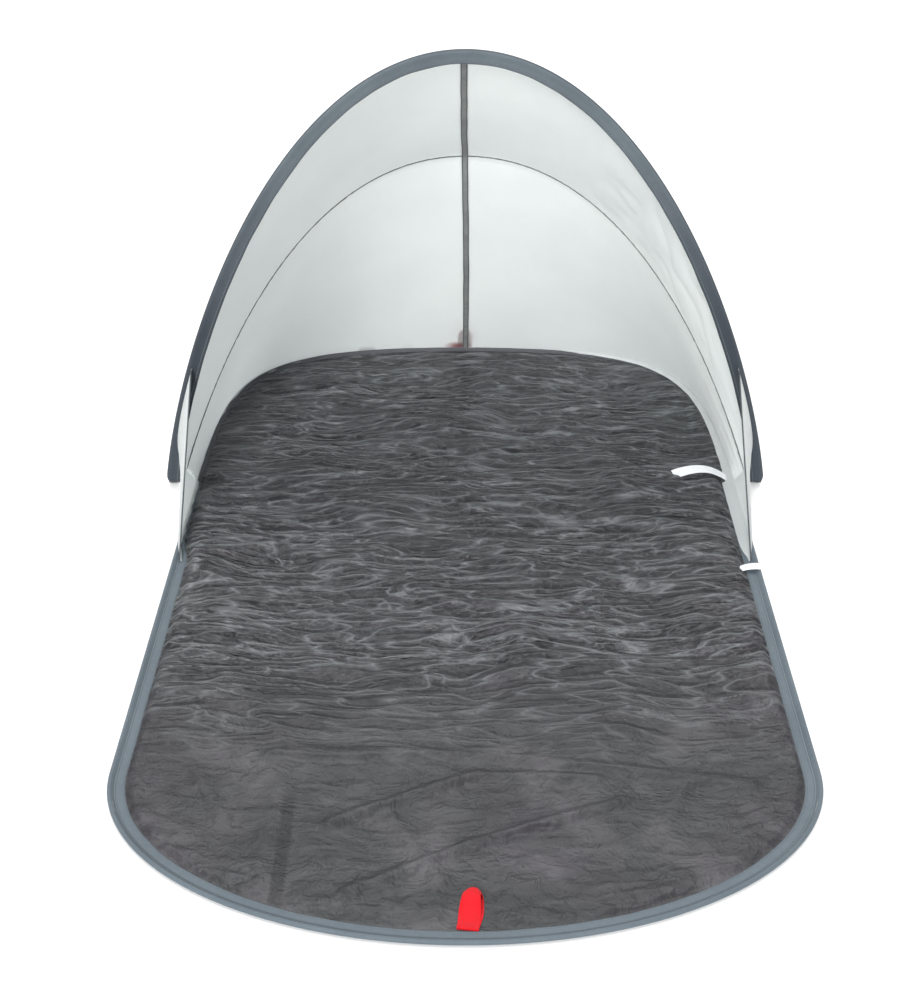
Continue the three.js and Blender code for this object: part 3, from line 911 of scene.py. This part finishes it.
def canopyPoint(across, panel, rise):
    # across runs from -1 on the left to 1 on the right; rise runs up one panel.
    side = 1 if across >= 0 else -1
    share = 1 - abs(across)
    foot = canopyFoot(side, share, shelter["pocketRadius"], 2 * shelter["pocketRadius"])
    if panel == "fold":
        reach = canopyLook["flap"] + canopyLook["flapLean"] * across
        reach -= canopyLook["flapNarrows"] * smooth(0.6, 0.2, abs(across))
        reach += canopyLook["flapWaves"] * noise.noise(foot * 24)
        inner = canopyFoot(side, share, reach, 0.0046)
        return inner.lerp(foot, rise) + Vector((0, 0, canopyLook["flapBulge"] * math.sin(math.pi * rise)))
    seam = canopySeam(side, share)
    if panel == "back":
        low, high, sag = foot, seam, canopyLook["backSag"]
    else:
        low, high, sag = seam, canopyFront(side, share), canopyLook["roofSag"]
    point = low.lerp(high, rise)
    tent = 4 * rise * (1 - rise)
    wide = smooth(0.0, 0.35, share)
    pull = noise.noise(Vector((across * 7, rise * 1.6 + (5 if panel == "roof" else 0), 3.0)))
    pull += 0.6 * noise.noise(Vector((across * 19 + rise * 2, rise * 2.4, 13.0)))
    corner = smooth(0.55, 0.05, share)
    radiating = noise.noise(Vector((foldAngle(point) * 9, 4.0 * side, point.x))) * corner
    right = smooth(0.18, 0.36, across) * (1 - smooth(0.62, 0.8, across)) if panel == "roof" else 0.0
    crumple = ridge(noise.noise(Vector((point.x * 16, point.y * 22, point.z * 7))), 2) * right
    deep = sag * tent * wide + canopyLook["drag"] * (pull * 0.7 * tent + radiating * math.sqrt(tent))
    deep -= canopyLook["crumple"] * crumple * math.sqrt(tent)
    nearSeam = smooth(0.12, 0.0, min(rise, 1 - rise))
    puckers = canopyLook["puckers"] * noise.noise(Vector((across * 90, rise, 1.0))) * nearSeam
    return point + towardsInside(point) * (deep + puckers)


def canopyRow(v):
    row = v * canopyRows
    if row <= canopyLook["foldRows"]:
        return "fold", row / canopyLook["foldRows"]
    row -= canopyLook["foldRows"]
    if row <= canopyLook["backRows"]:
        return "back", row / canopyLook["backRows"]
    return "roof", (row - canopyLook["backRows"]) / canopyLook["roofRows"]


def canopySheetPoint(u, v):
    panel, rise = canopyRow(v)
    return canopyPoint(1 - 2 * u, panel, rise)


def canopyMaterial():
    look = {
        "colour": tone(244, 247, 246), "second": tone(239, 242, 242), "roughness": 0.55,
        "thread": 0.0008, "cloudScale": 3, "crinkleScale": 16, "crinkle": 0.0035,
        "mapped": False, "specks": 0.03, "weaveShade": 0.03, "sheen": 0.1, "weaveHeight": 0.00006,
    }
    sheet, colour, rough = wovenCloth("canopy_silver_cloth", look)
    fromLoop = sheet.node("VectorMath", {0: sheet.objectPlace}, operation="SUBTRACT")
    fromLoop.inputs[1].default_value = canopyLook["paintedLoopShowThrough"]
    spread = sheet.node("Mapping", {"Vector": fromLoop.outputs["Vector"]}, Scale=(0.6, 0.6, 1.1))
    away = sheet.node("VectorMath", {0: spread.outputs["Vector"]}, operation="LENGTH").outputs["Value"]
    away = sheet.maths("ADD", away, sheet.times(sheet.noise(sheet.objectPlace, 70, 2), 0.008))
    # Painted show-through: reddish shade where the red loop stands behind the cloth.
    colour = sheet.mix(sheet.stretchRange(away, 0.009, 0.025, 0.75, 0.0), colour, tone(150, 60, 72))
    sheet.letLightThrough(colour, canopyLook["lightThrough"])
    return sheet.finish(colour, rough)


print("canopy")
canopyCloth = canopyMaterial()
canopy = clothGrid(
    "canopy", canopyLook["columns"], canopyRows, canopySheetPoint,
    (2.4, 1.0), canopyLook["thickness"], canopyCloth,
)
foldCanopy(canopy)
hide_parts("roof_panel_right", "roof_panel_left", "back_panel_right", "back_panel_left")

# Tapes on the canopy's seams

tapeLook = {
    "width": 0.0125,
    "thickness": 0.0036,
    "seamWidth": 0.0026,
    "seamThickness": 0.0028,
    "stands": 0.0002,  # how far its middle is inside the canopy
}


def tapeMaterial():
    look = {
        "colour": tone(142, 146, 145), "second": tone(122, 126, 126), "roughness": 0.7,
        "thread": 0.0012, "cloudScale": 30, "specks": 0.4, "crinkleScale": 120, "crinkle": 0.0006,
    }
    sheet, colour, rough = wovenCloth("seam_tape_mesh", look)
    fromMiddle = sheet.awayFrom(sheet.clothAxis("Y"), tapeLook["width"] / 2)
    edges = sheet.stretchRange(fromMiddle, tapeLook["width"] * 0.27, tapeLook["width"] * 0.44)
    colour = sheet.mix(edges, colour, tone(66, 69, 70))
    return sheet.finish(colour, rough)


def centreTapePoint(u, v):
    # Up the middle from the foot to the arch, folded over the seam.
    rows = canopyLook["backRows"] + canopyLook["roofRows"]
    row = u * rows
    if row <= canopyLook["backRows"]:
        place = canopyPoint(0.0, "back", row / canopyLook["backRows"])
    else:
        place = canopyPoint(0.0, "roof", (row - canopyLook["backRows"]) / canopyLook["roofRows"])
    sway = 0.0022 * math.sin(u * 5.2 + 0.4) + 0.0008 * noise.noise(Vector((u * 14, 0, 2)))
    width = tapeLook["width"] * (1 + 0.07 * noise.noise(Vector((u * 17, 3, 0))))
    inside = towardsInside(place)
    inside.x = 0
    place = place + inside.normalized() * tapeLook["stands"]
    place.x = sway + (v - 0.5) * width
    return place


def seamTapePoint(u, v):
    across = 1 - 2 * u
    place = canopyPoint(across, "back", 1.0)
    below, above = canopyPoint(across, "back", 0.97), canopyPoint(across, "roof", 0.03)
    slope = (above - below).normalized()
    width = tapeLook["seamWidth"] * smooth(0.0, 0.08, 1 - abs(across))
    return place + slope * (v - 0.5) * width + towardsInside(place) * tapeLook["stands"]


print("seam tapes")
tapeCloth = tapeMaterial()
centreTape = clothGrid(
    "centre_tape", 150, 6, centreTapePoint, (1.35, tapeLook["width"]),
    tapeLook["thickness"], tapeCloth,
)
foldCanopy(centreTape)
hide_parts("centre_tape_back", "centre_tape_roof")
arcMaterial = plainWeave(
    "arc_seam_cord",
    {
        "colour": tone(96, 100, 101), "second": tone(120, 124, 125), "roughness": 0.7,
        "thread": 0.0008, "cloudScale": 20,
    },
)
arcSeam = clothGrid(
    "arc_seam_tape", 220, 2, seamTapePoint, (2.2, tapeLook["seamWidth"]),
    tapeLook["seamThickness"], arcMaterial,
)
foldCanopy(arcSeam)
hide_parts("arc_seam_tape_right", "arc_seam_tape_left")

# Side wings and their binding

wingLook = {
    "top": 0.266,  # how far up the arch they reach
    "foot": Vector((0.5365, 0.003, 0.0052)),  # where the free edge meets the hem
    "hemX": 0.5468,
    "insideArch": 0.010,  # where its root lies on the arch sleeve
    "beforeArch": 0.0028,
    "bow": 0.006,  # how far it curves outwards
    "drag": 0.0016,
    "floorEdgeX": {1: 0.5235, -1: 0.5415},  # how far in its hem reaches, right and left
    "rowsOnHem": 4,
    "rows": 30,
    "columns": 34,
    "thickness": 0.0006,
    "bindingWidth": 0.006,
}


def wingRoot(rise):
    length = lerp(canopyLook["archStart"], wingLook["top"], rise)
    point = pointAt(archHalf, length)
    return inPlane(point.x - wingLook["insideArch"], point.y, -wingLook["beforeArch"], shelter["archAngle"])


def wingHem(across):
    y = lerp(hinge.y + 0.001, wingLook["foot"].y, across)
    near = smooth(0.8, 1.0, across)
    x = lerp(wingLook["hemX"], wingLook["foot"].x, near)
    return Vector((x, y, lerp(0.0092, wingLook["foot"].z, near)))


def wingPoint(across, rise):
    root, lowRoot, top = wingRoot(rise), wingRoot(0), wingRoot(1)
    freeTop = top + Vector((0, -0.010, 0))
    free = wingLook["foot"].lerp(freeTop, rise)
    straight = lowRoot.lerp(wingLook["foot"], across)
    point = root.lerp(free, across)
    point += (wingHem(across) - straight) * (1 - rise) ** lerp(7, 1, across**0.5)
    bow = wingLook["bow"] * math.sin(math.pi * rise) * math.sin(math.pi * across)
    pull = wingLook["drag"] * noise.noise(Vector((rise * 3 + across * 5, across * 2, 6.0)))
    point.x += bow + pull * math.sin(math.pi * rise) * across * (1 - across) * 4
    return point


def wingSheetPoint(side):
    rows = wingLook["rowsOnHem"] + wingLook["rows"]

    def place(u, v):
        row = v * rows
        if row < wingLook["rowsOnHem"]:
            share = row / wingLook["rowsOnHem"]
            outer = wingPoint(u, 0)
            narrow = smooth(0.8, 1.0, u)
            edgeX = lerp(wingLook["floorEdgeX"][side], wingLook["foot"].x - 0.004, narrow)
            inner = Vector((edgeX, outer.y, 0.0036))
            inner.x += 0.0012 * noise.noise(Vector((outer.y * 40, side, 0)))
            raised = 0.0025 * math.sin(math.pi * share) * (1 - narrow)
            point = inner.lerp(outer, share) + Vector((0, 0, raised))
        else:
            point = wingPoint(u, (row - wingLook["rowsOnHem"]) / wingLook["rows"])
        return Vector((point.x * side, point.y, point.z))

    return place


def bindingPoint(side):
    def place(u, v):
        # v goes once round the folded tape: out along one face and back along the other.
        edge, inner = wingPoint(1.0, u), wingPoint(0.9, u)
        out = (edge - inner).normalized() if (edge - inner).length > 1e-5 else Vector((0, -1, 0))
        along = (wingPoint(1.0, min(1, u + 0.01)) - wingPoint(1.0, max(0, u - 0.01))).normalized()
        through = along.cross(out).normalized()
        turn = 2 * math.pi * v
        width = wingLook["bindingWidth"] * (0.5 * (1 + 0.05 * noise.noise(Vector((u * 9, side, 4)))))
        point = edge + out * (width * math.cos(turn) + 0.001)
        point += through * 0.0014 * math.sin(turn) * (1 - 0.3 * math.cos(turn))
        return Vector((point.x * side, point.y, point.z))

    return place


bindingCloth = plainWeave(
    "binding_tape",
    {
        "colour": tone(82, 88, 92), "second": tone(66, 72, 77), "roughness": 0.65,
        "thread": 0.001, "cloudScale": 25, "specks": 0.35,
    },
)


def closeEnds(bm):
    holes = [edge for edge in bm.edges if edge.is_boundary]
    bmesh.ops.holes_fill(bm, edges=holes, sides=0)


print("side wings")
wings, bindings = {}, {}
for sideName, side in (("right", 1), ("left", -1)):
    wings[sideName] = clothGrid(
        f"wing_{sideName}", wingLook["columns"], wingLook["rowsOnHem"] + wingLook["rows"],
        wingSheetPoint(side), (0.3, 0.4), wingLook["thickness"], canopyCloth,
    )
    foldWing(wings[sideName])
    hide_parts(f"side_wing_{sideName}")
    bindings[sideName] = clothGrid(
        f"wing_binding_{sideName}", 60, 12, bindingPoint(side), (0.4, 0.02), 0.0,
        bindingCloth, closeEnds,
    )
    foldWing(bindings[sideName])
    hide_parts(f"edge_binding_{sideName}")

# Red webbing loops

pullTabLook = {
    "width": 0.031,
    "length": 0.075,
    "loopRadius": 0.0066,
    "thickness": 0.0015,
    "roundedTip": 0.010,  # how much shorter its edges are than its middle
    "narrowing": 0.28,  # share of its width lost where it folds over
    "skew": 0.005,  # how far the top layer lies off the bottom one
    "aside": 0.0035,  # the front loop's foot, to the right of the middle
    "lean": 0.15,
    "stitchRows": (0.004, 0.0095),
    "stitchHeight": 0.0034,
}


def webbingMaterial():
    sheet = NodeSheet("red_webbing_ribbed", 0.62, 0.08, specular=0.2)
    ribs = sheet.bands(sheet.clothPlace, "X", 0.0016)
    warp = sheet.bands(sheet.clothPlace, "Y", 0.0011)
    weave = sheet.times(ribs, sheet.maths("ADD", sheet.times(warp, 0.6), 0.4))
    specks = sheet.noise(sheet.objectPlace, 260, 3)
    colour = sheet.mix(sheet.stretchRange(specks, 0.3, 0.7), tone(226, 16, 30), tone(208, 12, 26))
    # Painted shade in the grooves between the ribs.
    ribGrooveShade = sheet.times(sheet.maths("SUBTRACT", 1, weave), 0.25)
    colour = sheet.mix(ribGrooveShade, colour, tone(170, 18, 30))
    sheet.bump(weave, 0.0006, 0.7)
    return sheet.finish(colour)


def pullTabPoint(frameMatrix):
    look = pullTabLook
    radius = look["loopRadius"]
    lift = look["thickness"]

    def place(u, v):
        c = 2 * v - 1
        straight = look["length"] - radius - look["roundedTip"] * abs(c) ** 2.5
        turn = math.pi * radius
        run = u * (2 * straight + turn)
        if run < straight:
            along, up = run, 0.0004 + 0.0012 * math.sin(math.pi * run / straight)
            shift = 0.4
        elif run < straight + turn:
            angle = (run - straight) / radius
            along = straight + radius * math.sin(angle)
            up = radius * (1 - math.cos(angle))
            shift = lerp(0.4, -0.6, angle / math.pi)
        else:
            share = (run - straight - turn) / straight
            along = straight * (1 - share)
            up = lerp(2 * radius, lift * 1.1, smooth(0.0, 0.85, share))
            up += 0.0009 * math.sin(3 * math.pi * share)
            shift = lerp(-0.6, 0.0, share)
        narrowing = 1 - look["narrowing"] * smooth(0.03, look["length"], along)
        across = c * look["width"] / 2 * narrowing + shift * look["skew"] * smooth(0.0, 0.03, along)
        droop = 0.0012 * c * c * smooth(0.0, 0.05, along)
        return frameMatrix @ Vector((along, max(0.0006, up - droop), across))

    return place


def barTack(name, frameMatrix, body, material, rows, halfWidth, height):
    # Rows of slanting stitches of thick thread that hold a loop.
    bm = bmesh.new()
    for row, along in enumerate(rows):
        for i in range(11):
            across = lerp(-halfWidth, halfWidth, i / 10)
            lean = 0.35 if (i + row) % 2 else -0.35
            spot = Matrix.Translation((along, height, across)) @ Matrix.Rotation(lean, 4, "Y")
            spot = spot @ Matrix.Diagonal((0.0034, 0.0007, 0.0009, 1))
            bmesh.ops.create_uvsphere(bm, u_segments=8, v_segments=5, radius=0.5, matrix=frameMatrix @ spot)
    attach(finishMesh(name, bm, 0.0, material), body)


def threadMaterial(name, light, dark):
    sheet = NodeSheet(name, 0.6, 0.2)
    twist = sheet.noise(sheet.objectPlace, 900, 2)
    sheet.bump(twist, 0.0002, 0.5)
    return sheet.finish(sheet.mix(twist, light, dark))


def basis(origin, xWay, yWay):
    zWay = xWay.cross(yWay)
    return Matrix.Translation(origin) @ Matrix((xWay, yWay, zWay)).transposed().to_4x4()


print("webbing loops")
redWebbing = webbingMaterial()
redThread = threadMaterial("red_thread", tone(196, 22, 34), tone(160, 14, 26))
frontLow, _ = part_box("pull_tab_front")
frontPlace = Vector((pullTabLook["aside"], frontLow.y, frontLow.z))
frontFrame = basis(frontPlace, Vector((pullTabLook["lean"], 1, 0)).normalized(), Vector((0, 0, 1)))
rearFoot, rearTop = canopyPoint(0.0, "back", 0.0), canopyPoint(0.0, "back", 0.3)
rearSlope = (rearTop - rearFoot).normalized()
rearOut = Vector((0, rearSlope.z, -rearSlope.y))
rearFrame = basis(rearFoot + rearOut * 0.0022 + rearSlope * 0.004, rearSlope, rearOut)
for end, endFrame in (("front", frontFrame), ("rear", rearFrame)):
    tab = clothGrid(
        f"webbing_loop_{end}", 64, 14, pullTabPoint(endFrame), (0.17, pullTabLook["width"]),
        pullTabLook["thickness"], redWebbing,
    )
    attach(tab, f"tab_{end}")
    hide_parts(f"pull_tab_{end}")
    barTack(
        f"webbing_stitches_{end}", endFrame, f"tab_{end}", redThread,
        pullTabLook["stitchRows"], pullTabLook["width"] * 0.43, pullTabLook["stitchHeight"],
    )

# Labels

labelLook = {
    "careLength": 0.122,
    "careWidth": 0.0285,
    "careArch": 0.021,  # height of the arch it stands in
    "sideLength": 0.038,
    "sideWidth": 0.022,
    "thickness": 0.0005,
}


def labelMaterial():
    look = {
        "colour": tone(240, 241, 243), "second": tone(232, 234, 238), "roughness": 0.45,
        "thread": 0.0006, "cloudScale": 40, "specks": 0.04, "weaveShade": 0.05, "sheen": 0.2,
        "crinkleScale": 90, "crinkle": 0.0006,
    }
    sheet, colour, rough = wovenCloth("label_satin_white", look)
    selvedge = sheet.stretchRange(sheet.bands(sheet.clothPlace, "X", 0.0012), 0.2, 0.8, 0.0, 0.06)
    colour = sheet.mix(selvedge, colour, tone(190, 193, 198))
    return sheet.finish(colour, rough)


def careLabelPoint(u, v):
    # A limp strip that stands in a low arch, with its free end curled.
    origin = Vector(joints["care_label_flip"]["pos_m"])
    along = u * labelLook["careLength"]
    curl = math.sin(math.pi * min(1, u * 1.02))
    lift = labelLook["careArch"] * curl**0.9 + 0.0012 * math.sin(7 * u)
    twist = (v - 0.5) * labelLook["careWidth"]
    bend = 0.006 * u * u
    tilt = 0.006 * (v - 0.5) * smooth(0.2, 1.0, u)
    return Vector((origin.x - along * 0.985, origin.y + twist + bend, origin.z + 0.0016 + lift + tilt))


def sideLabelPoint(u, v):
    low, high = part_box("side_label")
    x = lerp(high.x, low.x, u)
    y = lerp(low.y, high.y, 0.04 + 0.92 * v) + 0.003 * (1 - v) * u
    drop = lerp(high.z, low.z, u**1.1) + 0.0022 * math.sin(math.pi * u) + 0.0006
    return Vector((x, y, drop + 0.0012 * math.sin(math.pi * v) * u))


print("labels")
labelSatin = labelMaterial()
careLabel = clothGrid(
    "care_label_strip", 40, 8, careLabelPoint, (labelLook["careLength"], labelLook["careWidth"]),
    labelLook["thickness"], labelSatin,
)
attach(careLabel, "care_tag")
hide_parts("care_label")
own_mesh(careLabel)
sideLabel = clothGrid(
    "side_label_strip", 20, 8, sideLabelPoint, (labelLook["sideLength"], labelLook["sideWidth"]),
    labelLook["thickness"], labelSatin,
)
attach(sideLabel, "side_tag")
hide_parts("side_label")

# Spring-steel rings and their crimped tubes


def metalMaterial(name, colour, worn, roughness):
    sheet = NodeSheet(name, roughness, 0.0, 1.0)
    drawn = sheet.noise(sheet.objectPlace, 700, 2, 0.5, 0.0, (1, 1, 0.1))
    stains = sheet.noise(sheet.objectPlace, 60, 4)
    sheet.bump(drawn, 0.0001, 0.4)
    rough = sheet.stretchRange(stains, 0.3, 0.7, roughness - 0.08, roughness + 0.12)
    return sheet.finish(sheet.mix(sheet.stretchRange(stains, 0.4, 0.7), colour, worn), rough)


springSteel = metalMaterial("spring_steel_drawn", tone(150, 153, 156), tone(118, 116, 112), 0.34)
crimpMetal = metalMaterial("crimp_zinc", tone(176, 179, 182), tone(148, 150, 152), 0.45)
for nodeName, node in frame["nodes"].items():
    if "wire" in nodeName:
        metal = crimpMetal if "ferrule" in nodeName else springSteel
        node.data.materials.clear()
        node.data.materials.append(metal)

# Stage

stageLook = {
    "floor": tone(243, 243, 243),
    "size": 60,
    "below": 0.0012,  # how far the floor is under the tent
    "world": 0.45,
    "overhead": {"from": (0.0, 0.5, 1.0), "strength": 2.2, "spread": 60},
    "front": {"from": (-0.2, -1.0, 0.62), "strength": 3.4, "spread": 14},
}


def skyLight(name, look):
    # A very wide soft light from one side.
    light = bpy.data.lights.new(name, "SUN")
    light.energy = look["strength"]
    light.angle = math.radians(look["spread"])
    holder = newObject(name, light)
    holder.rotation_euler = Vector(look["from"]).to_track_quat("Z", "Y").to_euler()


def buildStage(look):
    bm = bmesh.new()
    bmesh.ops.create_grid(bm, x_segments=1, y_segments=1, size=look["size"])
    bmesh.ops.translate(bm, verts=bm.verts[:], vec=(0, 0, -look["below"]))
    sheet = NodeSheet("studio_floor", 0.9)
    stageFloor = finishMesh("studio_floor", bm, 0.0, sheet.finish(look["floor"]))
    world = bpy.data.worlds.new("studio")
    world.use_nodes = True
    world.node_tree.nodes["Background"].inputs["Color"].default_value = (1, 1, 1, 1)
    world.node_tree.nodes["Background"].inputs["Strength"].default_value = look["world"]
    bpy.context.scene.world = world
    skyLight("overhead", look["overhead"])
    skyLight("front", look["front"])
    bpy.context.scene.view_settings.view_transform = "Standard"


print("stage")
buildStage(stageLook)

bpy.context.view_layer.update()
